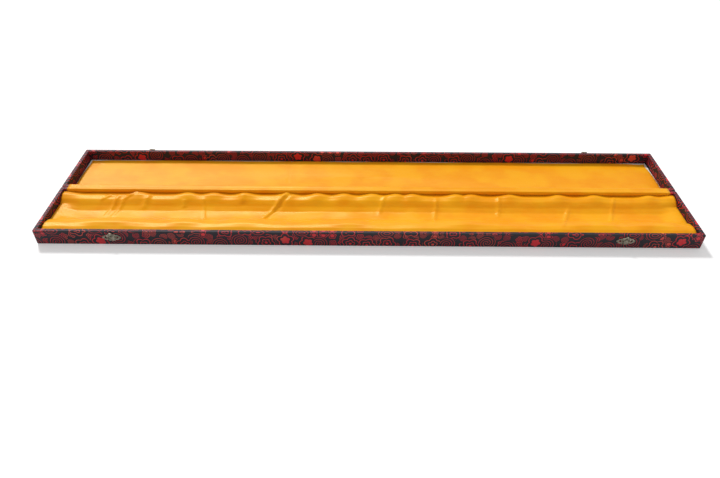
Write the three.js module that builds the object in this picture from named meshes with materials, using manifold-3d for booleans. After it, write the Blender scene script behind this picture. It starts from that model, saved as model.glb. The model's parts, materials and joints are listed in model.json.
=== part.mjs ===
// A long, flat presentation box for a sword or a scroll: two shallow halves of thin board,
// wrapped in brocade, joined by a cloth hinge and lying open side by side.
// The tray has a satin lining over wadding, with a trough down its middle. The lid has a flat
// satin pad. Two small bronze hasps close the front.
// Millimetres, +Z up. The origin is the centre of the tray's underside, and the lid lies at +Y.

import * as THREE from "three";
import { mergeVertices } from "three/addons/utils/BufferGeometryUtils.js";
import Module from "manifold-3d";

const wasm = await Module();
wasm.setup();

// Outside of each half
const boxLength = 1100;
const boxWidth = 125;
const halfHeight = 28;

// Board and cloth
const wallBoard = 5;
const baseBoard = 3;
const cloth = 0.5;
const glueLine = 0.2;
const cornerRound = 1.5;
const rimRound = 0.8;
const turnIn = 12;
const undersheetInset = 3;

// Cloth hinge
const liningCloth = 0.3;
const stripGlue = 0.1;
const foldRoom = 0.4;
const hingeClothLeg = 20;
const hingeClothInset = 2;
const stripLeg = 10;
const stripInset = 6;

// Wadding and satin of the tray
const wallClear = 0.8;
const satin = 0.8;
const waddingEase = 0.5;
const troughWadding = 4;
const frontRollDepth = 51;
const frontCrestDrop = 4.5;
const rearRollDepth = 38;
const rearCrestDrop = 3.2;
const endRise = 6;
const endRiseLength = 40;
const gatherDepth = 3.5;
const puffHeight = 3;
const rollGap = 0.4;
const satinColumns = 55;

// Flat pad of the lid
const padCard = 1.5;
const padFoam = 3.6;
const padCrown = 0.6;
const padSatin = 0.5;
const padColumns = 24;
const padRows = 8;

// Hasps
const haspInset = 128;
const plateThickness = 1;
const plateGap = 0.3;
const plateCentreDrop = 11.8;
const nailSpread = 13.2;
const nailShank = 0.6;
const nailHead = 1.4;
const nailLength = 4.5;
const nailRoom = 0.25;
const pinRadius = 0.6;
const pinRoom = 0.2;
const pinBelowRim = 0.9;
const pinStandOff = 2.4;
const knuckleRadius = 1.6;
const knuckleLength = 2.8;
const knuckleRoom = 0.3;
const tongueKnuckle = 3.6;
const tabWidth = 3;
const tabRoom = 0.9;
const tabReach = 4.2;
const tabTopDrop = 1.8;
const slotLength = 5.8;
const tongueLength = 19.5;

// Places that follow from the sizes above
const skin = cloth + glueLine;
const wallTotal = wallBoard + 2 * skin;
const innerLength = boxLength - 2 * wallTotal;
const innerWidth = boxWidth - 2 * wallTotal;
const baseBottom = 2 * skin;
const baseTop = baseBottom + baseBoard;
const floorLevel = baseTop + glueLine;
const wallTop = halfHeight - skin;
const hingeGap = 2 * skin + foldRoom;
const lidShift = boxWidth + hingeGap;
const hingeHeight = halfHeight + stripGlue + liningCloth;
const liningLength = innerLength - 2 * wallClear;
const liningWidth = innerWidth - 2 * wallClear;
const haspX = boxLength / 2 - haspInset;

const boardColour = 0xb08d5f;
const finishes = {
  brocade: new THREE.MeshStandardMaterial({ color: 0x5e1519, roughness: 0.75 }),
  satin: new THREE.MeshStandardMaterial({ color: 0xf5a623, roughness: 0.35 }),
  board: new THREE.MeshStandardMaterial({ color: boardColour, roughness: 0.9 }),
  wadding: new THREE.MeshStandardMaterial({ color: 0xeeeade, roughness: 1 }),
  card: new THREE.MeshStandardMaterial({ color: 0x9a958a, roughness: 0.95 }),
  bronze: new THREE.MeshStandardMaterial({ color: 0x6f6a58, roughness: 0.45, metalness: 0.9 }),
};

// A closed geometry as a solid that can be joined and cut
function solidFrom(geometry) {
  const source = geometry.index ? geometry.toNonIndexed() : geometry;
  const bare = new THREE.BufferGeometry();
  bare.setAttribute("position", source.getAttribute("position"));
  const merged = mergeVertices(bare, 1e-4);
  return new wasm.Manifold(
    new wasm.Mesh({
      numProp: 3,
      vertProperties: merged.getAttribute("position").array,
      triVerts: new Uint32Array(merged.index.array),
    }),
  );
}

// The way back, with a normal for each face
function geometryFrom(solid) {
  const { numProp, numVert, vertProperties, triVerts } = solid.getMesh();
  const positions = new Float32Array(numVert * 3);
  for (let i = 0; i < numVert; i++) {
    positions.set(vertProperties.subarray(i * numProp, i * numProp + 3), i * 3);
  }
  const indexed = new THREE.BufferGeometry();
  indexed.setAttribute("position", new THREE.BufferAttribute(positions, 3));
  indexed.setIndex(new THREE.BufferAttribute(triVerts, 1));
  const geometry = indexed.toNonIndexed();
  geometry.computeVertexNormals();
  return geometry;
}

function joined(geometries) {
  return geometries.map(solidFrom).reduce((whole, piece) => whole.add(piece));
}

function cutBy(whole, geometries) {
  return geometries.map(solidFrom).reduce((left, piece) => left.subtract(piece), whole);
}

function named(name, geometry, finish) {
  const mesh = new THREE.Mesh(geometry, finishes[finish]);
  mesh.name = name;
  return mesh;
}

// A rectangular solid between two opposite corners
function block([x0, y0, z0], [x1, y1, z1]) {
  const geometry = new THREE.BoxGeometry(x1 - x0, y1 - y0, z1 - z0);
  return geometry.translate((x0 + x1) / 2, (y0 + y1) / 2, (z0 + z1) / 2);
}

// A rectangular solid centred on the Z axis
function slab(length, width, z0, z1) {
  return block([-length / 2, -width / 2, z0], [length / 2, width / 2, z1]);
}

function roundedRectangle(length, width, radius) {
  const shape = new THREE.Shape();
  const x = length / 2 - radius;
  const y = width / 2 - radius;
  shape.absarc(x, y, radius, 0, Math.PI / 2);
  shape.absarc(-x, y, radius, Math.PI / 2, Math.PI);
  shape.absarc(-x, -y, radius, Math.PI, (3 * Math.PI) / 2);
  shape.absarc(x, -y, radius, (3 * Math.PI) / 2, 2 * Math.PI);
  return shape;
}

// An outline drawn in Y and Z, run along X
function runAlongX(shape, length) {
  const geometry = new THREE.ExtrudeGeometry(shape, { depth: length, bevelEnabled: false, curveSegments: 8 });
  geometry.translate(0, 0, -length / 2);
  geometry.rotateX(Math.PI / 2);
  return geometry.rotateZ(Math.PI / 2);
}

function outline(points) {
  return new THREE.Shape(points.map(([x, y]) => new THREE.Vector2(x, y)));
}

// Places at equal steps, centred on 0
function evenly(span, steps) {
  return Array.from({ length: steps + 1 }, (_, i) => (i / steps - 0.5) * span);
}

// A closed cloth or pad on a grid of places, between an upper and a lower height
function quilted(xs, ys, upper, lower) {
  const columns = xs.length - 1;
  const rows = ys.length - 1;
  const across = columns + 1;
  const layer = across * (rows + 1);
  const positions = [];
  for (const height of [upper, lower]) {
    for (let j = 0; j <= rows; j++) {
      for (let i = 0; i <= columns; i++) {
        positions.push(xs[i], ys[j], height(xs[i], ys[j]));
      }
    }
  }
  const faces = [];
  const quad = (a, b, c, d) => faces.push(a, b, c, a, c, d);
  for (let j = 0; j < rows; j++) {
    for (let i = 0; i < columns; i++) {
      const a = j * across + i;
      quad(a, a + 1, a + 1 + across, a + across);
      quad(layer + a, layer + a + across, layer + a + 1 + across, layer + a + 1);
    }
  }
  for (let i = 0; i < columns; i++) {
    const far = rows * across + i;
    quad(layer + i, layer + i + 1, i + 1, i);
    quad(far, far + 1, layer + far + 1, layer + far);
  }
  for (let j = 0; j < rows; j++) {
    const left = j * across;
    const right = left + columns;
    quad(left, left + across, layer + left + across, layer + left);
    quad(layer + right, layer + right + across, right + across, right);
  }
  const geometry = new THREE.BufferGeometry();
  geometry.setAttribute("position", new THREE.Float32BufferAttribute(positions, 3));
  geometry.setIndex(faces);
  return geometry;
}

function smoothStep(low, high, value) {
  const t = Math.min(1, Math.max(0, (value - low) / (high - low)));
  return t * t * (3 - 2 * t);
}

// Boards and brocade of one half. latchSide is -1 where the hasps are at -Y, and 1 at +Y.
function boardsOf(half, baseName, latchSide) {
  const length = boxLength - 2 * skin;
  const width = boxWidth - 2 * skin;
  const wall = (y) =>
    block([-length / 2, y - wallBoard / 2, floorLevel], [length / 2, y + wallBoard / 2, wallTop]);
  const wallY = (width - wallBoard) / 2;
  const endHalf = width / 2 - wallBoard - glueLine;
  const latchWall = cutBy(solidFrom(wall(latchSide * wallY)), nailHoles(latchSide));
  const pieces = [
    named(`${half}_${baseName}_board`, slab(length, width, baseBottom, baseTop), "board"),
    named(`${half}_front_board`, geometryFrom(latchWall), "board"),
    named(`${half}_hinge_board`, wall(-latchSide * wallY), "board"),
  ];
  for (const [side, sign] of [["left", -1], ["right", 1]]) {
    const outer = (sign * length) / 2;
    const inner = outer - sign * wallBoard;
    const low = Math.min(outer, inner);
    const end = block([low, -endHalf, floorLevel], [low + wallBoard, endHalf, wallTop]);
    pieces.push(named(`${half}_${side}_end_board`, end, "board"));
  }
  return pieces;
}

// One strip of brocade that runs round the walls: up the outside, over the rim and down the
// inside, with its lower edge turned in under the base board.
function brocadeWrap(latchSide) {
  const outside = new THREE.ExtrudeGeometry(roundedRectangle(boxLength, boxWidth, cornerRound), {
    depth: halfHeight - skin - 2 * rimRound,
    bevelThickness: rimRound,
    bevelSize: rimRound,
    bevelOffset: -rimRound,
    bevelSegments: 3,
    curveSegments: 4,
  });
  outside.translate(0, 0, skin + rimRound);
  const rimFlare = new THREE.ExtrudeGeometry(outline([
    [-innerLength / 2, -innerWidth / 2],
    [innerLength / 2, -innerWidth / 2],
    [innerLength / 2, innerWidth / 2],
    [-innerLength / 2, innerWidth / 2],
  ]), { depth: rimRound, bevelThickness: rimRound / 2, bevelSize: rimRound / 2, bevelSegments: 1 });
  rimFlare.translate(0, 0, halfHeight);
  const boardLength = boxLength - 2 * cloth;
  const boardWidth = boxWidth - 2 * cloth;
  const wallSpace = solidFrom(slab(boardLength, boardWidth, floorLevel - glueLine, wallTop + glueLine)).subtract(
    solidFrom(slab(innerLength + 2 * cloth, innerWidth + 2 * cloth, 0, halfHeight)),
  );
  return cutBy(solidFrom(outside).subtract(wallSpace), [
    slab(boardLength, boardWidth, baseBottom - glueLine, floorLevel),
    slab(innerLength, innerWidth, floorLevel - glueLine, halfHeight + rimRound),
    slab(boxLength - 2 * turnIn, boxWidth - 2 * turnIn, 0, baseBottom),
    rimFlare,
    ...nailHoles(latchSide),
  ]);
}

function underSheet() {
  const shape = roundedRectangle(boxLength - 2 * undersheetInset, boxWidth - 2 * undersheetInset, cornerRound);
  return new THREE.ExtrudeGeometry(shape, { depth: cloth, bevelEnabled: false, curveSegments: 3 });
}

// Height of the tray's satin across the tray, without its gathers
function satinProfile() {
  const front = -liningWidth / 2;
  const rear = liningWidth / 2;
  const trough = floorLevel + troughWadding + satin + waddingEase;
  const frontCrest = halfHeight - frontCrestDrop;
  const rearCrest = halfHeight - rearCrestDrop;
  const points = [
    [front, frontCrest - 6.5],
    [front + 4, frontCrest - 3],
    [front + 12, frontCrest - 0.6],
    [front + 22, frontCrest],
    [front + 32, frontCrest - 2.8],
    [front + 42, (frontCrest + trough) / 2 - 2],
    [front + frontRollDepth, trough],
    [rear - rearRollDepth, trough],
    [rear - 28, (rearCrest + trough) / 2 - 3.5],
    [rear - 18, rearCrest - 3.5],
    [rear - 9, rearCrest],
    [rear, rearCrest - 0.8],
  ];
  const curve = new THREE.SplineCurve(points.map(([y, z]) => new THREE.Vector2(y, z)));
  const samples = curve.getPoints(240);
  return (y) => {
    const next = samples.findIndex((point) => point.x >= y);
    if (next <= 0) return next === 0 ? samples[0].y : samples[samples.length - 1].y;
    const [a, b] = [samples[next - 1], samples[next]];
    return a.y + ((b.y - a.y) * (y - a.x)) / Math.max(1e-6, b.x - a.x);
  };
}

const profile = satinProfile();

// Where the gathers stand highest, as shares of half the lining's length from the middle
const rearGathers = [-1.05, -0.75, -0.59, -0.5, -0.4, -0.26, -0.16, -0.08, 0.01, 0.1, 0.21, 0.34, 0.46, 0.62, 0.75, 0.92, 1.05];
const frontPuffs = [-1.05, -0.8, -0.565, -0.385, -0.065, 0.285, 0.69, 0.87, 1.05];
const fullSpacing = 0.15;

// 0 at each peak, up to 1 between two
function between(peaks, share) {
  const next = peaks.findIndex((peak) => peak > share);
  const [a, b] = [peaks[next - 1], peaks[next]];
  const wave = Math.sin((Math.PI * (share - a)) / (b - a)) ** 2;
  return wave * Math.min(1, (b - a) / fullSpacing);
}

function satinTop(x, y) {
  const share = x / (liningLength / 2);
  const nearRear = smoothStep(liningWidth / 2 - 26, liningWidth / 2 - 6, y);
  const onRoll = smoothStep(liningWidth / 2 - 12, liningWidth / 2 - 34, -y);
  const nearFrontRoll = onRoll * smoothStep(-8, -24, y);
  const toEnd = smoothStep(liningLength / 2 - endRiseLength, liningLength / 2, Math.abs(x));
  const still = 1 - toEnd;
  const gathered = profile(y) - still * nearRear * gatherDepth * between(rearGathers, share);
  const puffed = gathered + still * nearFrontRoll * puffHeight * (1 - between(frontPuffs, share));
  const endFloor = floorLevel + troughWadding + satin + waddingEase + endRise;
  return Math.max(puffed, puffed + toEnd * (endFloor - puffed));
}

// Lines along the tray at which the satin bends
const satinRows = [0, 5, 12, 22, 33, frontRollDepth].map((y) => y - liningWidth / 2).concat(
  [rearRollDepth, 28, 18, 9, 0].map((y) => liningWidth / 2 - y),
);

// The highest that wadding may stand under the satin's lowest gathers
function waddingTop(y) {
  const far = Math.max(1, satinRows.findIndex((row) => row >= y - 1e-6));
  const [a, b] = [satinRows[far - 1], satinRows[far]];
  const [low, high] = [a, b].map((row) =>
    profile(row) - gatherDepth * smoothStep(liningWidth / 2 - 26, liningWidth / 2 - 6, row) - satin - waddingEase,
  );
  return low + ((high - low) * (y - a)) / (b - a);
}

// The wadding under the satin: a roll along each long wall, a thin layer in the trough between
// them, and a low block at each end of the trough.
function waddingOf() {
  const half = liningWidth / 2;
  const foot = floorLevel + glueLine;
  const frontFoot = -half + frontRollDepth - 3;
  const rearFoot = half - rearRollDepth + 3;
  const roll = (from, to) => {
    const places = [from, ...satinRows.filter((row) => row > from && row < to), to];
    return outline([[from, foot], [to, foot], ...places.reverse().map((y) => [y, waddingTop(y)])]);
  };
  const floorLow = frontFoot + rollGap;
  const floorHigh = rearFoot - rollGap;
  const floorHalf = liningLength / 2 - endRiseLength;
  const floorTop = foot + troughWadding - glueLine;
  const pieces = [
    named("tray_front_roll", runAlongX(roll(-half, frontFoot), liningLength), "wadding"),
    named("tray_rear_roll", runAlongX(roll(rearFoot, half), liningLength), "wadding"),
    named("tray_trough_wadding", block([-floorHalf, floorLow, foot], [floorHalf, floorHigh, floorTop]), "wadding"),
  ];
  for (const [side, sign] of [["left", -1], ["right", 1]]) {
    const wedge = outline([
      [floorHalf + rollGap, foot],
      [liningLength / 2, foot],
      [liningLength / 2, floorTop + endRise],
      [liningLength / 2 - endRiseLength / 3, floorTop + endRise * 0.7],
      [floorHalf + rollGap, floorTop - 1],
    ]);
    const geometry = new THREE.ExtrudeGeometry(wedge, { depth: floorHigh - floorLow, bevelEnabled: false });
    geometry.rotateX(Math.PI / 2);
    geometry.translate(0, floorHigh, 0);
    if (sign < 0) {
      geometry.rotateZ(Math.PI);
      geometry.translate(0, floorLow + floorHigh, 0);
    }
    pieces.push(named(`tray_${side}_end_wadding`, geometry, "wadding"));
  }
  return pieces;
}

function traySatin() {
  return quilted(evenly(liningLength, satinColumns), satinRows, satinTop, (x, y) => satinTop(x, y) - satin);
}

// The lid's flat pad: a card, a thin foam and the satin drawn over both
function lidPad() {
  const cardBottom = floorLevel + glueLine;
  const cardTop = cardBottom + padCard;
  const edge = padSatin + glueLine;
  const foamLength = liningLength - 2 * edge;
  const foamWidth = liningWidth - 2 * edge;
  const crown = (x, y) =>
    padCrown * (1 - (2 * x / foamLength) ** 8) * (1 - (2 * y / foamWidth) ** 4) - padCrown;
  const foamTop = (x, y) => cardTop + glueLine + padFoam + crown(x, y);
  const inner = (x, y) => foamTop(x, y) + glueLine;
  const clamp = (value, limit) => Math.max(-limit / 2, Math.min(limit / 2, value));
  const outer = (x, y) => inner(clamp(x, foamLength), clamp(y, foamWidth)) + padSatin;
  const level = (height) => () => height;
  const grid = (less) => [evenly(liningLength - less, padColumns), evenly(liningWidth - less, padRows)];
  const under = (x, y) => inner(clamp(x, foamLength), clamp(y, foamWidth));
  const pan = solidFrom(quilted(...grid(0), outer, level(cardBottom))).subtract(
    solidFrom(quilted(...grid(2 * padSatin), under, level(0))),
  );
  const places = [evenly(foamLength, padColumns), evenly(foamWidth, padRows)];
  const foam = quilted(...places, (x, y) => foamTop(x, y) - glueLine, level(cardTop + glueLine));
  return [
    named("lid_pad_card", slab(foamLength, foamWidth, cardBottom, cardTop), "card"),
    named("lid_pad_foam", foam, "wadding"),
    named("lid_satin", geometryFrom(pan), "satin"),
  ];
}

// The brocade of the hinge, folded between the two hinge walls, and the satin strip over them
function hingeCloths() {
  const trayFace = boxWidth / 2 + glueLine;
  const lidFace = lidShift - boxWidth / 2 - glueLine;
  const foldTop = halfHeight - glueLine / 2;
  const foldLow = foldTop - hingeClothLeg;
  const fold = outline([
    [trayFace, foldLow],
    [trayFace + cloth, foldLow],
    [trayFace + cloth, foldTop - cloth],
    [lidFace - cloth, foldTop - cloth],
    [lidFace - cloth, foldLow],
    [lidFace, foldLow],
    [lidFace, foldTop],
    [trayFace, foldTop],
  ]);
  const trayInner = innerWidth / 2 - stripGlue;
  const lidInner = lidShift - innerWidth / 2 + stripGlue;
  const stripTop = hingeHeight;
  const stripLow = stripTop - stripLeg;
  const strip = outline([
    [trayInner - liningCloth, stripLow],
    [trayInner, stripLow],
    [trayInner, stripTop - liningCloth],
    [lidInner, stripTop - liningCloth],
    [lidInner, stripLow],
    [lidInner + liningCloth, stripLow],
    [lidInner + liningCloth, stripTop],
    [trayInner - liningCloth, stripTop],
  ]);
  return [
    named("hinge_brocade", runAlongX(fold, boxLength - 2 * hingeClothInset), "brocade"),
    named("hinge_satin_strip", runAlongX(strip, innerLength - 2 * stripInset), "satin"),
  ];
}

// Hasp parts are drawn as seen from the front: X along the box, Y up from the rim, and Z out
// from the face of the brocade.
const plateBack = plateGap;
const plateFront = plateGap + plateThickness;

function disc(x, y, radius, z0, z1, segments = 14) {
  const geometry = new THREE.CylinderGeometry(radius, radius, z1 - z0, segments);
  geometry.rotateX(Math.PI / 2);
  return geometry.translate(x, y, (z0 + z1) / 2);
}

function rod(x0, x1, y, z, radius) {
  const geometry = new THREE.CylinderGeometry(radius, radius, x1 - x0, 10);
  geometry.rotateZ(Math.PI / 2);
  return geometry.translate((x0 + x1) / 2, y, z);
}

const sides = [-1, 1];

// A pierced cloud-shaped plate: a tall centre, a ring with a curl at each side, and nail tips
function cloudPlate() {
  const y = -plateCentreDrop;
  const lobeX = 8.6;
  const body = [disc(0, y, 5.4, plateBack, plateFront), disc(0, y + 2.2, 5, plateBack, plateFront)];
  body.push(disc(0, y - 2.2, 5, plateBack, plateFront));
  for (const side of sides) {
    body.push(disc(side * lobeX, y, 4.9, plateBack, plateFront));
    body.push(disc(side * nailSpread, y, 2.3, plateBack, plateFront, 8));
    for (const up of sides) body.push(disc(side * 4.2, y + up * 4.4, 2.4, plateBack, plateFront, 8));
  }
  const piercings = [];
  const curls = [];
  for (const side of sides) {
    piercings.push(disc(side * lobeX, y, 2.9, 0, pinStandOff, 8));
    piercings.push(disc(side * nailSpread, y, nailShank + nailRoom, 0, pinStandOff, 8));
    for (const up of sides) piercings.push(disc(side * 4.4, y + up * 4.5, 0.9, 0, pinStandOff, 8));
    curls.push(disc(side * (lobeX - 1.3), y + 0.8, 1.4, plateBack, plateFront, 9));
    curls.push(disc(side * (lobeX - 2.4), y + 0.2, 1.2, plateBack, plateFront, 9));
  }
  return cutBy(joined(body), piercings).add(joined(curls));
}

// The plate on the tray, with the tab that the tongue's slot snaps over
function catchPlate() {
  const tab = new THREE.Shape();
  const root = -plateCentreDrop + 2.5;
  const top = -tabTopDrop;
  tab.moveTo(plateBack, root);
  tab.lineTo(plateFront, root);
  tab.lineTo(plateFront, top - 3);
  tab.quadraticCurveTo(plateFront, top - 1, tabReach - 0.6, top - 1);
  tab.lineTo(tabReach, top - 1.5);
  tab.lineTo(tabReach, top - 0.5);
  tab.quadraticCurveTo(tabReach, top, tabReach - 0.5, top);
  tab.quadraticCurveTo(plateBack, top, plateBack, top - 2.8);
  const geometry = new THREE.ExtrudeGeometry(tab, { depth: tabWidth, bevelEnabled: false, curveSegments: 6 });
  geometry.rotateY(-Math.PI / 2);
  geometry.translate(tabWidth / 2, 0, 0);
  return cloudPlate().add(solidFrom(geometry));
}

// The plate on the lid, with two rolled knuckles for the tongue's pin
function haspPlate() {
  const inner = tongueKnuckle / 2 + knuckleRoom;
  const outer = inner + knuckleLength;
  const knuckles = [];
  const bores = [];
  for (const side of sides) {
    const low = side < 0 ? -outer : inner;
    const high = low + knuckleLength;
    knuckles.push(rod(low, high, -pinBelowRim, pinStandOff, knuckleRadius));
    knuckles.push(block([low, -plateCentreDrop + 4, plateBack], [high, -pinBelowRim, plateFront]));
    bores.push(rod(low - 1, high + 1, -pinBelowRim, pinStandOff, pinRadius + pinRoom));
  }
  const bridge = block([-outer, -plateCentreDrop + 4, plateBack], [outer, -pinBelowRim - 3, plateFront]);
  return cutBy(cloudPlate().add(joined([bridge, ...knuckles])), bores);
}

// The tongue hangs from the pin: a knuckle, a frame round the slot and a pierced shield
function tongue() {
  const back = -plateThickness / 2;
  const front = plateThickness / 2;
  const slotHalf = tabWidth / 2 + tabRoom;
  const frameHalf = slotHalf + 2.8;
  const frameTop = -knuckleRadius - knuckleRoom;
  const slotTop = frameTop - 1.3;
  const slotBottom = slotTop - slotLength;
  const shieldY = slotBottom - 3.2;
  const tipY = -tongueLength + 1.8;
  const body = joined([
    rod(-tongueKnuckle / 2, tongueKnuckle / 2, 0, 0, knuckleRadius),
    block([-tongueKnuckle / 2, frameTop - 0.5, back], [tongueKnuckle / 2, 0, front]),
    block([-frameHalf, slotBottom - 1, back], [frameHalf, frameTop, front]),
    disc(0, shieldY, 5.6, back, front),
    disc(-frameHalf, slotBottom, 1.6, back, front, 9),
    disc(frameHalf, slotBottom, 1.6, back, front, 9),
    disc(0, tipY, 1.8, back, front + 0.6, 16),
    block([-1.4, tipY, back], [1.4, shieldY, front]),
  ]);
  return cutBy(body, [
    rod(-tongueKnuckle, tongueKnuckle, 0, 0, pinRadius + pinRoom),
    block([-slotHalf, slotBottom, -pinStandOff], [slotHalf, slotTop, pinStandOff]),
    disc(-2, shieldY, 1.1, -pinStandOff, pinStandOff, 12),
    disc(2, shieldY, 1.1, -pinStandOff, pinStandOff, 12),
    disc(0, shieldY - 2, 0.9, -pinStandOff, pinStandOff, 12),
  ]);
}

function nail() {
  const seat = plateFront + glueLine / 2;
  const tip = seat - nailLength;
  const points = [
    [0, tip - 1],
    [nailShank, tip],
    [nailShank, seat],
    [nailHead, seat],
    [nailHead * 0.92, seat + 0.35],
    [nailHead * 0.55, seat + 0.65],
    [0, seat + 0.75],
  ];
  const geometry = new THREE.LatheGeometry(points.map(([r, z]) => new THREE.Vector2(r, z)), 8);
  return geometry.rotateX(Math.PI / 2);
}

// The nails' holes through brocade and board, in the frame of a half
function nailHoles(latchSide) {
  const deep = nailLength + 2;
  const z = halfHeight - plateCentreDrop;
  const face = (latchSide * boxWidth) / 2;
  return sides.flatMap((side) =>
    sides.map((tip) => {
      const hole = new THREE.CylinderGeometry(nailShank + nailRoom, nailShank + nailRoom, 2 * deep, 8);
      return hole.translate(side * haspX + tip * nailSpread, face, z);
    }),
  );
}

// A group that puts hasp parts on the latch face of a half
function onLatchFace(side, latchSide) {
  const turned = new THREE.Group();
  turned.rotation.x = Math.PI / 2;
  const placed = new THREE.Group();
  placed.add(turned);
  placed.rotation.z = latchSide > 0 ? Math.PI : 0;
  placed.position.set(side * haspX, (latchSide * boxWidth) / 2, halfHeight);
  return { placed, turned };
}

function nailPair(label) {
  return sides.map((tip) => {
    const mesh = named(`${label}_nail_${tip < 0 ? 1 : 2}`, nail(), "bronze");
    mesh.position.set(tip * nailSpread, -plateCentreDrop, 0);
    return mesh;
  });
}

const tray = new THREE.Group();
tray.add(...boardsOf("tray", "bottom", -1));
tray.add(named("tray_brocade", geometryFrom(brocadeWrap(-1)), "brocade"));
tray.add(named("tray_underside_sheet", underSheet(), "brocade"));
tray.add(...waddingOf());
tray.add(named("tray_satin", traySatin(), "satin"));

const lid = new THREE.Group();
lid.position.y = lidShift;
lid.add(...boardsOf("lid", "top", 1));
lid.add(named("lid_brocade", geometryFrom(brocadeWrap(1)), "brocade"));
lid.add(named("lid_top_sheet", underSheet(), "brocade"));
lid.add(...lidPad());

for (const [label, side] of [["left", -1], ["right", 1]]) {
  const onTray = onLatchFace(side, -1);
  onTray.turned.add(named(`${label}_catch_plate`, geometryFrom(catchPlate()), "bronze"));
  onTray.turned.add(...nailPair(`${label}_catch`));
  tray.add(onTray.placed);

  const onLid = onLatchFace(side, 1);
  const pinHalf = tongueKnuckle / 2 + knuckleRoom + knuckleLength;
  const tongueMesh = named(`${label}_hasp_tongue`, geometryFrom(tongue()), "bronze");
  tongueMesh.position.set(0, -pinBelowRim, pinStandOff);
  onLid.turned.add(named(`${label}_hasp_plate`, geometryFrom(haspPlate()), "bronze"));
  onLid.turned.add(named(`${label}_hasp_pin`, rod(-pinHalf, pinHalf, -pinBelowRim, pinStandOff, pinRadius), "bronze"));
  onLid.turned.add(tongueMesh);
  onLid.turned.add(...nailPair(`${label}_hasp`));
  lid.add(onLid.placed);
}

const box = new THREE.Group();
box.add(tray, lid, ...hingeCloths());

export default box;
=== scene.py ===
import json
import math

import bpy
import numpy as np
from mathutils import Matrix, Vector


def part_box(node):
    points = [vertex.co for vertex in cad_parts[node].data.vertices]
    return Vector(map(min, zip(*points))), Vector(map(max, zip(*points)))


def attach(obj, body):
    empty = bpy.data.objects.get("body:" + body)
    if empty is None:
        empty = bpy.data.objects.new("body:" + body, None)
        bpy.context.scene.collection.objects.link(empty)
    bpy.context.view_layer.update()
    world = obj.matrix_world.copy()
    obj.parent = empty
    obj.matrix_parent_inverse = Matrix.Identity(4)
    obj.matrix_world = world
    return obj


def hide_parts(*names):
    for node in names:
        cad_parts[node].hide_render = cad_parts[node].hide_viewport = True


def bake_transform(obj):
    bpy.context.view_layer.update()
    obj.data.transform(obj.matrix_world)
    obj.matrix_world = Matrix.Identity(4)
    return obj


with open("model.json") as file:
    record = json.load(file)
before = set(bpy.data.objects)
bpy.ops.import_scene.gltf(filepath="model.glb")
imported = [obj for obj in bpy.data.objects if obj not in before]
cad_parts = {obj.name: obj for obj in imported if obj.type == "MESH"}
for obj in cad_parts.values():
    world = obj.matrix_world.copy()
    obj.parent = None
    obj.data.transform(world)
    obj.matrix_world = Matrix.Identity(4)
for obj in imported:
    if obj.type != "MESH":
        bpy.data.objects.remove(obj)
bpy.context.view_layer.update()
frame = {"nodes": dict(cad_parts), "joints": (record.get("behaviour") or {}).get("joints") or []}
nodes = frame["nodes"]
bpy.ops.object.select_all(action="DESELECT")
mm = 0.001
fullTurn = 6.2832

# Camera at the photograph's place, worked out from its perspective. Places in mm, angles in radians.
camera = {"place": (-10.83, -819.77, 649.78), "down": 0.697, "turn": 0.0039, "roll": 0.0048,
          "lens": 30.06, "sensor": 36, "farthest": 50}


def placeCamera():
    data = bpy.data.cameras.new("camera")
    data.lens = camera["lens"]
    data.sensor_width = camera["sensor"]
    data.clip_end = camera["farthest"]
    view = bpy.data.objects.new("camera", data)
    bpy.context.collection.objects.link(view)
    turn = Matrix.Rotation(camera["turn"], 3, "Z")
    down, roll = camera["down"], camera["roll"]
    right = turn @ Vector((1, 0, 0))
    up = turn @ Vector((0, math.sin(down), math.cos(down)))
    ahead = turn @ Vector((0, math.cos(down), -math.sin(down)))
    across = math.cos(roll) * right + math.sin(roll) * up
    upright = -math.sin(roll) * right + math.cos(roll) * up
    matrix = Matrix((across, upright, -ahead)).transposed().to_4x4()
    matrix.translation = Vector(camera["place"]) * mm
    view.matrix_world = matrix
    bpy.context.scene.camera = view


placeCamera()
print("camera placed")


# Shader maths: an expression on these values adds its Math nodes
class Value:
    def __init__(self, tree, socket):
        self.tree = tree
        self.socket = socket

    def maths(self, operation, *others):
        return addNode(self.tree, "ShaderNodeMath", {"operation": operation}, [self, *others])

    def __add__(self, other):
        return self.maths("ADD", other)

    def __sub__(self, other):
        return self.maths("SUBTRACT", other)

    def __mul__(self, other):
        return self.maths("MULTIPLY", other)

    def __truediv__(self, other):
        return self.maths("DIVIDE", other)

    def __rsub__(self, other):
        return addNode(self.tree, "ShaderNodeMath", {"operation": "SUBTRACT"}, [other, self])

    __radd__ = __add__
    __rmul__ = __mul__

    def absolute(self):
        return self.maths("ABSOLUTE")

    def sine(self):
        return self.maths("SINE")

    def least(self, other):
        return self.maths("MINIMUM", other)

    def most(self, other):
        return self.maths("MAXIMUM", other)

    def above(self, other):
        return self.maths("GREATER_THAN", other)

    def ramp(self, low, high):  # 0 at low, 1 at high
        smooth = {"interpolation_type": "SMOOTHSTEP"}
        return addNode(self.tree, "ShaderNodeMapRange", smooth, [self, low, high])


def fillSockets(tree, node, pairs):
    for key, value in pairs:
        if isinstance(value, Value):
            tree.links.new(value.socket, node.inputs[key])
        else:
            node.inputs[key].default_value = value


def addNode(tree, kind, settings, inputs, output=0):
    node = tree.nodes.new(kind)
    for key, value in settings.items():
        setattr(node, key, value)
    fillSockets(tree, node, inputs.items() if isinstance(inputs, dict) else enumerate(inputs))
    return Value(tree, node.outputs[output])


def mixColours(tree, factor, first, second, blend="MIX"):
    settings = {"data_type": "RGBA", "blend_type": blend}
    inputs = {0: factor, 6: first, 7: second}  # the node's sockets for colours
    return addNode(tree, "ShaderNodeMix", settings, inputs, 2)


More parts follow.
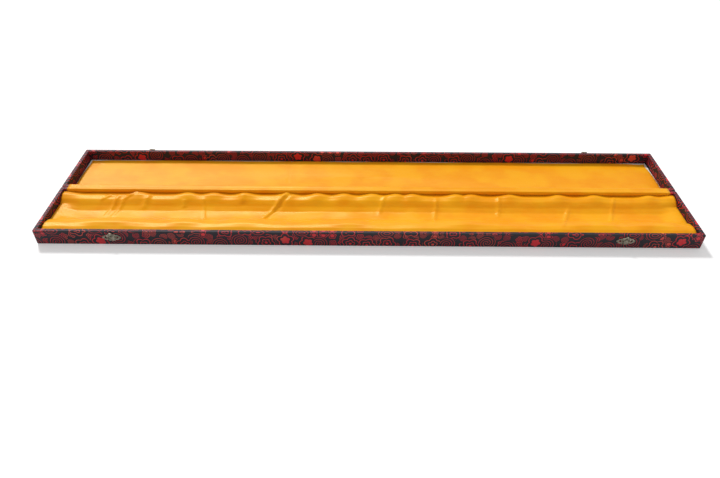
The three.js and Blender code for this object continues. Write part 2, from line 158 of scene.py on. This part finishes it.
def newMaterial(name):
    material = bpy.data.materials.new(name)
    material.use_nodes = True
    tree = material.node_tree
    return material, tree, tree.nodes["Principled BSDF"]


def placeOnPiece(tree):
    return addNode(tree, "ShaderNodeTexCoord", {}, [], "Object")


def link(tree, value, shader, name):
    tree.links.new(value.socket, shader.inputs[name])


def bumped(tree, height, distance):
    inputs = {"Strength": 1.0, "Distance": distance, "Height": height}
    return addNode(tree, "ShaderNodeBump", {}, inputs, "Normal")


def noise(tree, place, scale, detail=2.0, roughness=0.5):
    inputs = {"Vector": place, "Scale": scale, "Detail": detail, "Roughness": roughness}
    return addNode(tree, "ShaderNodeTexNoise", {}, inputs, "Fac")


def parts(tree, vector):
    return [addNode(tree, "ShaderNodeSeparateXYZ", {}, [vector], i) for i in range(3)]


def combined(tree, x, y, z=0.0):
    return addNode(tree, "ShaderNodeCombineXYZ", {}, [x, y, z])


# Brocade: dark ground, crimson flowers and curling clouds. Reaches are shares of a motif's size. A mask
# fades between the two values of its edge, which count in line widths for curls and petals.
brocadeLook = {
    "ground": (0.011, 0.007, 0.014, 1), "figure": (0.62, 0.012, 0.022, 1), "pale": (0.72, 0.14, 0.07, 1),
    "paleShare": 0.35, "paleScale": 14.0, "paleEdge": (0.56, 0.62),
    "motif": 34 * mm, "line": 0.75 * mm, "scatter": 0.55, "mostTurned": 6.28,
    "flowerShare": 0.52, "filledShare": 0.55,
    "petals": 5, "petalReach": 0.30, "petalDepth": 0.12, "petalEdge": (0.7, 1.1),
    "innerReach": 0.15, "innerDepth": 0.07, "innerEdge": (0.6, 1), "filledFade": 0.005,
    "heart": 0.06, "heartFade": 1.25, "wander": 0.05, "wanderScale": 1.1,
    "curlTightness": 26, "curlReach": 0.40, "curlEdge": (9, 17), "fade": 0.06,
    "smallMotif": 0.45, "smallLine": 0.8, "clear": 0.44, "largePhase": 0.013, "smallPhase": 0.171,
    "fray": 0.22, "frayScale": 900.0, "frayEdge": (0.2, 0.5),
    "patchScale": 60.0, "patchDepth": 0.5, "patchLeast": 0.75, "roughness": 0.62, "silk": 0.2,
    "thread": 0.5 * mm, "weave": 0.3, "relief": 0.12 * mm,
}


def lineAt(distance, inside, outside):  # a drawn line where the distance is small
    return 1 - distance.ramp(inside, outside)


def scrolls(tree, flat, size, line, phase):
    look = brocadeLook
    moved = addNode(tree, "ShaderNodeVectorMath", {"operation": "ADD"}, [flat, (phase, phase * 0.7, 0)])
    warp = noise(tree, moved, look["wanderScale"] / size, 1.0) - 0.5
    cells = {"voronoi_dimensions": "2D"}
    inputs = {"Vector": moved, "Scale": 1 / size, "Randomness": look["scatter"]}
    centre = addNode(tree, "ShaderNodeTexVoronoi", cells, inputs, "Position")
    chance = addNode(tree, "ShaderNodeTexVoronoi", cells, inputs, "Color")
    local = addNode(tree, "ShaderNodeVectorMath", {"operation": "SUBTRACT"}, [moved, centre])
    dx, dy, _ = parts(tree, local)
    kind, spin, _ = parts(tree, chance)
    radius = (dx * dx + dy * dy).maths("SQRT") / size
    angle = dy.maths("ARCTAN2", dx) + spin * look["mostTurned"]
    thin = line / size
    curlEdge, petalEdge, innerEdge = [[thin * edge for edge in look[key]]
                                      for key in ("curlEdge", "petalEdge", "innerEdge")]
    curl = (radius * look["curlTightness"] - angle).sine().absolute()
    cloud = lineAt(curl, *curlEdge) * lineAt(radius, look["curlReach"], look["curlReach"] + look["fade"])
    lobes = (angle * (look["petals"] / 2)).sine().absolute()
    petals = radius - look["petalReach"] - lobes * look["petalDepth"] + warp * look["wander"]
    inner = radius - look["innerReach"] - lobes * look["innerDepth"]
    petalLine = lineAt(petals.absolute(), *petalEdge)
    innerLine = lineAt(inner.absolute(), *innerEdge)
    heart = lineAt(radius, look["heart"], look["heart"] * look["heartFade"])
    filled = lineAt(inner, -look["filledFade"], look["filledFade"]) * spin.above(look["filledShare"])
    flower = petalLine.most(innerLine).most(heart).most(filled)
    isFlower = kind.above(look["flowerShare"])
    return isFlower * flower + (1 - isFlower) * cloud, radius


def makeBrocade(name, half, middle):
    look = brocadeLook
    material, tree, shader = newMaterial(name)
    place = placeOnPiece(tree)
    x, y, z = parts(tree, place)
    across = y - middle
    length, width = half
    # The cloth runs up and over each wall, and meets the next wall's at a mitre
    onEnd = (x.absolute() - length).above(across.absolute() - width)
    u = onEnd * across + (1 - onEnd) * x
    v = onEnd * (x.absolute() + z) + (1 - onEnd) * (across.absolute() + z)
    flat = combined(tree, u, v)
    size, line = look["motif"], look["line"]
    large, radius = scrolls(tree, flat, size, line, look["largePhase"])
    small, _ = scrolls(tree, flat, size * look["smallMotif"], line * look["smallLine"], look["smallPhase"])
    figure = large.most(small * radius.ramp(look["clear"], look["clear"] + look["fade"]))
    perThread = fullTurn / look["thread"]
    weave = (u * perThread).sine() * (v * perThread).sine()
    figure = (figure - noise(tree, place, look["frayScale"]) * look["fray"]).ramp(*look["frayEdge"])
    pale = noise(tree, place, look["paleScale"], 1.0).ramp(*look["paleEdge"])
    red = mixColours(tree, pale * look["paleShare"], look["figure"], look["pale"])
    patch = noise(tree, place, look["patchScale"]) * look["patchDepth"] + look["patchLeast"]
    colour = mixColours(tree, figure, look["ground"], red)
    colour = mixColours(tree, 1.0, colour, combined(tree, patch, patch, patch), "MULTIPLY")
    link(tree, colour, shader, "Base Color")
    link(tree, look["roughness"] - figure * look["silk"], shader, "Roughness")
    link(tree, bumped(tree, weave * look["weave"] + figure, look["relief"]), shader, "Normal")
    return material


# Satin: long floats in the weave give a soft directional gloss
satinLook = {
    "colour": (1.0, 0.43, 0.006, 1), "deep": (0.97, 0.35, 0.003, 1), "pale": (1.0, 0.52, 0.03, 1),
    "driftScale": 22.0, "driftEdge": (0.35, 0.65), "streakScale": (40, 900), "streakEdge": (0.45, 0.75),
    "paleShare": 0.35, "gloss": 0.26, "glossDrift": 0.14,
    "thread": 0.45 * mm, "rib": 0.3, "relief": 0.05 * mm,
    "sheen": 0.06, "sheenGrain": 0.4, "sheenTint": (1, 0.75, 0.35, 1), "direction": 0.4,
    "shine": 0.4, "shineTint": (1, 0.72, 0.22, 1),
}


def makeSatin():
    look = satinLook
    material, tree, shader = newMaterial("goldenSatin")
    place = placeOnPiece(tree)
    x, y, z = parts(tree, place)
    drift = noise(tree, place, look["driftScale"])
    alongFloat, acrossFloat = look["streakScale"]
    streak = noise(tree, combined(tree, x * alongFloat, y * acrossFloat, z * acrossFloat), 1.0)
    colour = mixColours(tree, drift.ramp(*look["driftEdge"]), look["deep"], look["colour"])
    colour = mixColours(tree, streak.ramp(*look["streakEdge"]) * look["paleShare"], colour, look["pale"])
    link(tree, colour, shader, "Base Color")
    link(tree, look["gloss"] + streak * look["glossDrift"], shader, "Roughness")
    rib = (x * (fullTurn / look["thread"])).sine() * look["rib"] + streak
    link(tree, bumped(tree, rib, look["relief"]), shader, "Normal")
    shader.inputs["Sheen Weight"].default_value = look["sheen"]
    shader.inputs["Sheen Roughness"].default_value = look["sheenGrain"]
    shader.inputs["Sheen Tint"].default_value = look["sheenTint"]
    shader.inputs["Anisotropic"].default_value = look["direction"]
    shader.inputs["Specular IOR Level"].default_value = look["shine"]
    shader.inputs["Specular Tint"].default_value = look["shineTint"]
    return material


# Bronze: dark in the hollows, rubbed bright on edges
bronzeLook = {
    "dark": (0.085, 0.07, 0.045, 1), "rubbed": (0.46, 0.42, 0.33, 1), "metal": 0.85,
    "cloudScale": 260.0, "cloudEdge": (0.42, 0.62), "cloudShare": 0.7, "wornEdge": (0.5, 0.56),
    "wornShare": 0.5, "fineScale": 1500.0, "fineRelief": 0.4, "fineRoughness": 0.1,
    "roughness": 0.62, "polish": 0.25, "relief": 0.08 * mm,
}


def makeBronze():
    look = bronzeLook
    material, tree, shader = newMaterial("darkBronze")
    place = placeOnPiece(tree)
    cloudy = noise(tree, place, look["cloudScale"], 4.0, 0.6)
    fine = noise(tree, place, look["fineScale"], 3.0)
    worn = addNode(tree, "ShaderNodeNewGeometry", {}, [], "Pointiness").ramp(*look["wornEdge"])
    rubbed = (cloudy.ramp(*look["cloudEdge"]) * look["cloudShare"] + worn * look["wornShare"]).least(1.0)
    roughness = look["roughness"] - rubbed * look["polish"] + fine * look["fineRoughness"]
    link(tree, mixColours(tree, rubbed, look["dark"], look["rubbed"]), shader, "Base Color")
    link(tree, roughness, shader, "Roughness")
    link(tree, bumped(tree, cloudy + fine * look["fineRelief"], look["relief"]), shader, "Normal")
    shader.inputs["Metallic"].default_value = look["metal"]
    return material


# Board, card and wadding, which show only when the box is taken apart
boardLook = {"name": "thinBoard", "dark": (0.42, 0.27, 0.14, 1), "light": (0.62, 0.45, 0.27, 1),
             "stretch": 0.06, "scale": 260.0, "roughness": 0.75, "relief": 0.1 * mm}
cardLook = {"name": "greyCard", "dark": (0.36, 0.33, 0.29, 1), "light": (0.50, 0.47, 0.42, 1),
            "stretch": 1.0, "scale": 700.0, "roughness": 0.85, "relief": 0.05 * mm}
waddingLook = {"name": "wadding", "dark": (0.74, 0.72, 0.66, 1), "light": (0.90, 0.88, 0.83, 1),
               "stretch": 0.7, "scale": 420.0, "roughness": 0.95, "relief": 0.5 * mm}
grainEdge = (0.35, 0.65)
grainRoughness = 0.1


def makeGrained(look):
    material, tree, shader = newMaterial(look["name"])
    x, y, z = parts(tree, placeOnPiece(tree))
    grain = noise(tree, combined(tree, x * look["stretch"], y, z), look["scale"], 5.0, 0.62)
    colour = mixColours(tree, grain.ramp(*grainEdge), look["dark"], look["light"])
    link(tree, colour, shader, "Base Color")
    link(tree, look["roughness"] + grain * grainRoughness, shader, "Roughness")
    link(tree, bumped(tree, grain, look["relief"]), shader, "Normal")
    return material


def reach(node):
    low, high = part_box(node)
    return [float(v) for v in low], [float(v) for v in high]


lidLow, lidHigh = reach("lid_brocade")
satinLow, satinHigh = reach("tray_satin")
padLow, padHigh = reach("lid_satin")
wallGap = 0.8 * mm  # between the satin's edge and the wall
innerHalf = (satinHigh[0] + wallGap, (satinHigh[1] - satinLow[1]) / 2 + wallGap)
looks = {
    "trayBrocade": makeBrocade("trayBrocade", innerHalf, 0.0),
    "lidBrocade": makeBrocade("lidBrocade", innerHalf, (lidLow[1] + lidHigh[1]) / 2),
    "satin": makeSatin(),
    "bronze": makeBronze(),
    "board": makeGrained(boardLook),
    "card": makeGrained(cardLook),
    "wadding": makeGrained(waddingLook),
}
print("materials made")

# The first words found in a node's name give its finish
finishWords = [
    (("hasp", "catch"), "bronze"),
    (("satin",), "satin"),
    (("brocade", "sheet"), "trayBrocade"),
    (("card",), "card"),
    (("roll", "wadding", "foam"), "wadding"),
    (("board",), "board"),
]


def lookOf(name):
    finish = next(look for words, look in finishWords if any(word in name for word in words))
    return "lidBrocade" if finish == "trayBrocade" and name.startswith("lid") else finish


for name, node in nodes.items():
    finish = looks[lookOf(name)]
    for holder in node.material_slots:
        holder.material = finish
    if not node.material_slots:
        node.data.materials.append(finish)
print("CAD nodes finished")


# A cloth is a grid whose points are moved to their places in mm, then given its thickness
def clothFrom(name, x, y, z, thickness, material):
    columns, rows = x.shape
    bpy.ops.mesh.primitive_grid_add(x_subdivisions=columns - 1, y_subdivisions=rows - 1, size=2)
    piece = bpy.context.object
    piece.name = name
    mesh = piece.data
    points = np.empty(len(mesh.vertices) * 3)
    mesh.vertices.foreach_get("co", points)
    points = points.reshape(-1, 3)
    i = np.rint((points[:, 0] + 1) / 2 * (columns - 1)).astype(int)
    j = np.rint((points[:, 1] + 1) / 2 * (rows - 1)).astype(int)
    points = np.stack((x[i, j], y[i, j], z[i, j]), axis=1)
    mesh.vertices.foreach_set("co", points.ravel() * mm)
    mesh.update()
    thick = piece.modifiers.new("thickness", "SOLIDIFY")
    thick.thickness = thickness * mm
    thick.offset = -1
    bpy.ops.object.modifier_apply(modifier=thick.name)
    mesh.materials.clear()
    mesh.materials.append(material)
    bpy.ops.object.shade_smooth()
    piece.select_set(False)
    return piece


def step(low, high, value):
    t = np.clip((value - low) / (high - low), 0, 1)
    return t * t * (3 - 2 * t)


def hill(distance, width):
    return np.exp(-(distance / width) ** 2)


# Hides the CAD part that a satin stands in for, attaches the satin to its body and works out the slopes of
# its surface
def laySatin(piece, node, body, xs, ys, z):
    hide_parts(node)
    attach(piece, body)
    slopeX, slopeY = np.gradient(z, xs, ys)


# The tray's satin lies loose over two rolls of wadding, gathered along the hinge. In mm from the
# tray's middle: the section is (y, z), and a fold runs from (x, y) to (x, y) with a height and a width.
drape = {
    "section": [(-55.3, 15.8), (-51, 20.2), (-43, 22.9), (-34, 23.5), (-22, 20.4), (-13, 14.6), (-4, 9.9),
                (6, 9.7), (17.3, 9.9), (27, 13.9), (37, 21.4), (46, 24.8), (55.3, 24.0)],
    "softening": np.array([1, 4, 6, 4, 1]) / 16,
    "gathers": [-407, -321, -275, -218, -144, -90, -43, 7, 49, 78, 156, 183, 251, 338, 402, 499],
    "gatherDepth": 3.4, "gatherWidth": 15, "gatherFrom": (29, 50),
    "puffs": [-450, -413, -307, -208, -34, 155, 375, 474],
    "puffHeight": 2.2, "puffWidth": 34, "puffFront": (-46, -28), "puffRear": (-16, -2),
    "folds": [
        (-143.8, 56, -185, -8, 1.5, 2.6), (-136, 54, -176, -4, -1.2, 2.4),
        (-411, 55.7, -431, 37.7, 1.3, 2.2), (-431, 37.7, -444, -3.3, 1.2, 2.4),
        (-441, 49, -457, -0.6, 1.2, 2.4), (-457, 48.7, -471, 34.8, 1.0, 2.2),
        (-388, 48, -395, 20, 1.4, 5), (-325, 36, -323, 24, 1.0, 4),
        (-292, 40, -283, -7, 1.0, 2.2), (-224, 52, -221, 31, 1.3, 5),
        (121, 42, 110, -27, 1.1, 3), (351, 25, 325, -35, 1.1, 3),
        (436, 49, 413, -18, 0.9, 2.4), (30, 50, 18, 12, 0.9, 3), (232, 50, 226, 8, 1.0, 3.5),
    ],
    "foldGain": 1.6, "foldStart": (-0.12, 0.15), "foldEnd": (0.8, 1.15),
    "ripple": 0.55, "rippleEdge": (40, 55), "rippleAlong": 17, "rippleAcross": 12, "rippleDrift": 57,
    "sway": 2.1, "swayAlong": 61, "lean": 9, "leanAlong": 133,
    "endRise": (505, 542), "endHeight": 16.0, "looseness": 0.8, "proud": 1.0,
    "columns": 440, "rows": 108, "thickness": 0.35,
}


def foldRidge(x, y, fold):
    x0, y0, x1, y1, height, width = fold
    ax, ay = x1 - x0, y1 - y0
    length = math.hypot(ax, ay)
    t = ((x - x0) * ax + (y - y0) * ay) / length ** 2
    away = ((x - x0) * ay - (y - y0) * ax) / length
    fade = step(*drape["foldStart"], t) * (1 - step(*drape["foldEnd"], t))
    return height * fade * hill(away, width)


def rippleAt(x, y):  # small uneven waves
    sway = drape["sway"] * np.sin(x / drape["swayAlong"])
    lean = y / drape["lean"] * np.sin(x / drape["leanAlong"])
    along = np.sin(x / drape["rippleAlong"] + sway + lean)
    return along * np.sin(y / drape["rippleAcross"] + x / drape["rippleDrift"])


def trayHeights(x, y):
    at, heights = zip(*drape["section"])
    section = np.interp(y[0], at, heights)
    section = np.convolve(np.pad(section, 2, "edge"), drape["softening"], "valid")
    z = np.repeat(section[None, :], len(x), axis=0)
    middle = 1 - step(*drape["endRise"], np.abs(x))
    rear = step(*drape["gatherFrom"], y)
    wadding = z - drape["gatherDepth"] * rear - drape["looseness"]  # the lowest that the cloth may lie
    slack = np.ones(x.shape)
    for peak in drape["gathers"]:
        slack = np.minimum(slack, 1 - hill(x - peak, drape["gatherWidth"]))
    z -= middle * rear * drape["gatherDepth"] * slack
    onRoll = step(*drape["puffFront"], y) * (1 - step(*drape["puffRear"], y))
    for peak in drape["puffs"]:
        z += middle * drape["puffHeight"] * hill(x - peak, drape["puffWidth"]) * onRoll
    for fold in drape["folds"]:
        z += middle * drape["foldGain"] * foldRidge(x, y, fold)
    z += middle * drape["ripple"] * rippleAt(x, y) * (1 - step(*drape["rippleEdge"], np.abs(y)))
    z = np.maximum(z, z + (1 - middle) * (drape["endHeight"] - z))
    return np.clip(z, wadding, satinHigh[2] / mm + drape["proud"])


def makeTraySatin():
    xs = np.linspace(satinLow[0], satinHigh[0], drape["columns"]) / mm
    ys = np.linspace(satinLow[1], satinHigh[1], drape["rows"]) / mm
    x, y = np.meshgrid(xs, ys, indexing="ij")
    z = trayHeights(x, y)
    piece = clothFrom("traySatin", x, y, z, drape["thickness"], looks["satin"])
    laySatin(piece, "tray_satin", "tray", xs, ys, z)


# The lid's satin is stretched over a thin foam, with tucks in each far corner. A tuck is the slope
# of its line out of the corner and its reach.
stretched = {
    "hem": 0.35, "edgeDrop": 1.6, "edgeWidth": 6, "settle": 0.1,
    "wave": 0.22, "waveAlong": 31, "waveDrift": 83, "waveSway": 0.8, "waveFrom": 30, "waveFade": 22,
    "cornerX": 542, "tucks": [(1.0, 26), (0.55, 34), (1.8, 20)],
    "tuckHeight": 0.63, "tuckWidth": 1.8, "tuckDip": 0.5,
    "creaseX": -149, "creaseDepth": 0.25, "creaseWidth": 1.6, "footRise": 0.5,
    "columns": 420, "rows": 90, "thickness": 0.4,
}


def lidHeights(x, y):
    fromEnd = np.minimum(x - x[0, 0], x[-1, 0] - x)
    fromFront = y[0, -1] - y
    fromHinge = y - y[0, 0]
    inFromEdge = np.minimum(fromEnd, np.minimum(fromHinge, fromFront))
    z = padHigh[2] / mm - stretched["settle"]
    z = z - stretched["edgeDrop"] * (1 - step(0, stretched["edgeWidth"], inFromEdge))
    sway = stretched["waveSway"] * np.sin(x / stretched["waveDrift"])
    wave = np.sin(x / stretched["waveAlong"] + sway) * step(0, stretched["waveFrom"], fromHinge)
    z += stretched["wave"] * wave * np.exp(-fromFront / stretched["waveFade"])
    for side in (-1, 1):
        along = stretched["cornerX"] - side * x
        for slope, out in stretched["tucks"]:
            near = hill(along, out) * hill(fromFront, out)
            away = (fromFront - slope * along) / math.hypot(1, slope)
            tuck = stretched["tuckHeight"] * hill(away, stretched["tuckWidth"])
            z += near * (tuck - stretched["tuckDip"])
    z -= stretched["creaseDepth"] * hill(x - stretched["creaseX"], stretched["creaseWidth"])
    for edge in (np.s_[0, :], np.s_[-1, :], np.s_[:, 0], np.s_[:, -1]):
        z[edge] = padLow[2] / mm + stretched["footRise"]
    return z


def makeLidSatin():
    xs = np.linspace(padLow[0], padHigh[0], stretched["columns"]) / mm
    ys = np.linspace(padLow[1], padHigh[1], stretched["rows"]) / mm
    for line in (xs, ys):  # a tight bend at each edge, just outside the foam
        line[1] = line[0] + stretched["hem"]
        line[-2] = line[-1] - stretched["hem"]
    x, y = np.meshgrid(xs, ys, indexing="ij")
    z = lidHeights(x, y)
    piece = clothFrom("lidSatin", x, y, z, stretched["thickness"], looks["satin"])
    laySatin(piece, "lid_satin", "lid", xs, ys, z)


# Cloths over the hinge run down one wall, across the gap and down the other. Sizes in mm.
strip = {"name": "hingeStrip", "node": "hinge_satin_strip", "look": "satin", "slot": "satin",
         "thickness": 0.3, "bend": 0.9, "sag": 0.25, "sagWidth": 1.2, "steps": 13, "columns": 240,
         "wave": 0.08}
foldedCloth = {"name": "hingeBrocade", "node": "hinge_brocade", "look": "trayBrocade", "slot": "brocade",
               "thickness": 0.5, "steps": 9, "columns": 60, "wave": 0.0}
hinge = next(joint for joint in frame["joints"] if joint["name"] == "lid_hinge")
hingeHalf = 0.5 * mm  # how far to each side of the hinge's axis
creep = 0.02  # a bend's last point lies this much lower than the flat
waveAlong, waveDrift = 37, 13.1
waveDepth = 0.5  # what lies deeper below the top doesn't wave


def overRims(cloth, half, leg, top):  # flat over the two rims, with a slight sag in the gap
    bend = cloth["bend"]
    down = [(-half, top - leg), (-half, top - bend), (-half + bend, top - creep)]
    flat = np.linspace(-half + bend, half - bend, cloth["steps"])[1:-1]
    sagged = [(y, top - cloth["sag"] * math.exp(-(y / cloth["sagWidth"]) ** 2)) for y in flat]
    return down + sagged + [(-y, z) for y, z in reversed(down)]


def betweenWalls(cloth, half, leg, top):  # one round fold
    angles = np.linspace(0, math.pi, cloth["steps"])
    bend = [(-half * math.cos(a), top - half * (1 - math.sin(a))) for a in angles]
    return [(-half, top - leg), *bend, (half, top - leg)]


def makeHingeCloth(cloth, shape):
    low, high = reach(cloth["node"])
    middle = (low[1] + high[1]) / 2 / mm
    half = (high[1] - low[1]) / 2 / mm - cloth["thickness"] / 2
    top = high[2] / mm
    path = shape(cloth, half, (high[2] - low[2]) / mm, top)
    xs = np.linspace(low[0], high[0], cloth["columns"]) / mm
    ys, zs = np.array(path).T
    waves = cloth["wave"] * np.sin(xs / waveAlong) * np.sin(xs / waveDrift + 1)
    across, height = middle + ys, zs + np.outer(waves, zs > top - waveDepth)
    piece = clothFrom(cloth["name"], *np.meshgrid(xs, across, indexing="ij"), height,
                      cloth["thickness"], looks[cloth["look"]])
    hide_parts(cloth["node"])
    x, y, z = hinge["pos_m"]
    y - hingeHalf
    y + hingeHalf
    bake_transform(piece)


makeTraySatin()
makeLidSatin()
makeHingeCloth(strip, overRims)
makeHingeCloth(foldedCloth, betweenWalls)
print("cloths made")

# White floor and plain light. The lift is the floor's own glow, which only the camera sees.
stage = {"floor": (0.90, 0.90, 0.90, 1), "floorSize": 30, "floorDrop": 0.05 * mm, "floorRoughness": 0.9,
         "world": 0.5, "sun": 2.3, "sunAngle": 10, "sunTilt": (-38, -24), "lift": 0.25}
white = (1, 1, 1, 1)


def makeFloor():
    bpy.ops.mesh.primitive_plane_add(size=stage["floorSize"], location=(0, 0, -stage["floorDrop"]))
    floor = bpy.context.object
    floor.name = "floor"
    floor.select_set(False)
    material, tree, shader = newMaterial("whiteFloor")
    shader.inputs["Base Color"].default_value = stage["floor"]
    shader.inputs["Roughness"].default_value = stage["floorRoughness"]
    shader.inputs["Emission Color"].default_value = white
    seen = addNode(tree, "ShaderNodeLightPath", {}, [], "Is Camera Ray")
    link(tree, seen * stage["lift"], shader, "Emission Strength")
    floor.data.materials.append(material)


def makeLight():
    world = bpy.data.worlds.new("plainLight")
    bpy.context.scene.world = world
    world.use_nodes = True
    tree = world.node_tree
    seen = addNode(tree, "ShaderNodeLightPath", {}, [], "Is Camera Ray")
    through = addNode(tree, "ShaderNodeLightPath", {}, [], "Is Transmission Ray")
    strength = seen.most(through) * (1 - stage["world"]) + stage["world"]
    background = tree.nodes["Background"]
    background.inputs["Color"].default_value = white
    link(tree, strength, background, "Strength")
    lamp = bpy.data.lights.new("softLamp", "SUN")
    lamp.energy = stage["sun"]
    lamp.angle = math.radians(stage["sunAngle"])
    light = bpy.data.objects.new("softLamp", lamp)
    bpy.context.collection.objects.link(light)
    light.rotation_euler = (*(math.radians(tilt) for tilt in stage["sunTilt"]), 0)


makeFloor()
makeLight()
bpy.context.scene.view_settings.view_transform = "Standard"
print("stage made")
